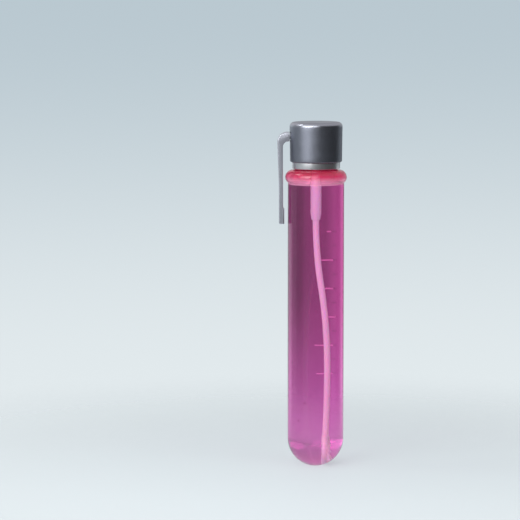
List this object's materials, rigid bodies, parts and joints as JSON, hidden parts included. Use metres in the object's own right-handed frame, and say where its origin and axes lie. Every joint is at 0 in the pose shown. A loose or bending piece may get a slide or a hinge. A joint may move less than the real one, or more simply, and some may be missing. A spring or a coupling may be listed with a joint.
{
  "type": "bubble wand",
  "caption": "Pocket bubble wand: clear pink round-ended tube with a threaded neck, silver screw cap with a pocket clip, and a bowed dipping wand with a ring.",
  "frame": {"origin": "centre of the round end, on the tube's axis, where the straight barrel begins", "axes": "+Z along the tube's axis towards the cap; the pocket clip is on the -X side; the wand bows towards +X and its ring is pierced along X"},
  "size_m": [0.0235, 0.0208, 0.1172],
  "materials": {
    "tube_plastic": "clear pink moulded plastic, glossy",
    "seal_rubber": "soft white foam rubber, matte",
    "wand_plastic": "pale natural plastic, slightly milky, satin",
    "liner_plastic": "grey moulded plastic, satin",
    "silver_plastic": "silver metallic moulded plastic, satin sheen",
    "bubble_liquid": "clear, slightly pink soap liquid"
  },
  "bodies": {
    "tube": {"tube": "tube_plastic"},
    "seal": {"seal_washer": "seal_rubber"},
    "wand": {"wand_sleeve": "wand_plastic", "wand_stem": "wand_plastic"},
    "cap": {"cap_liner": "liner_plastic", "cap_shell": "silver_plastic"},
    "clip": {"pocket_clip": "silver_plastic"}
  },
  "joints": [
    {"name": "cap_draw", "type": "slide", "parent": "tube", "child": "seal", "axis": [0, 0, 1], "range_m": [0, 0.115]},
    {"name": "thread_lift", "type": "slide", "parent": "seal", "child": "wand", "axis": [0, 0, 1], "range_m": [0, 0.00313]},
    {"name": "cap_unscrew", "type": "hinge", "parent": "wand", "child": "cap", "pos_m": [0, 0, 0.1], "axis": [0, 0, 1], "range_deg": [0, 450]},
    {"name": "clip_flex", "type": "hinge", "parent": "cap", "child": "clip", "pos_m": [-0.00863, 0, 0.10275], "axis": [0, 1, 0], "range_deg": [0, 7], "stiffness_Nm_per_rad": 1}
  ],
  "couplings": [
    {"joint": "thread_lift", "follows": "cap_unscrew", "m_per_rad": 0.00039789}
  ]
}
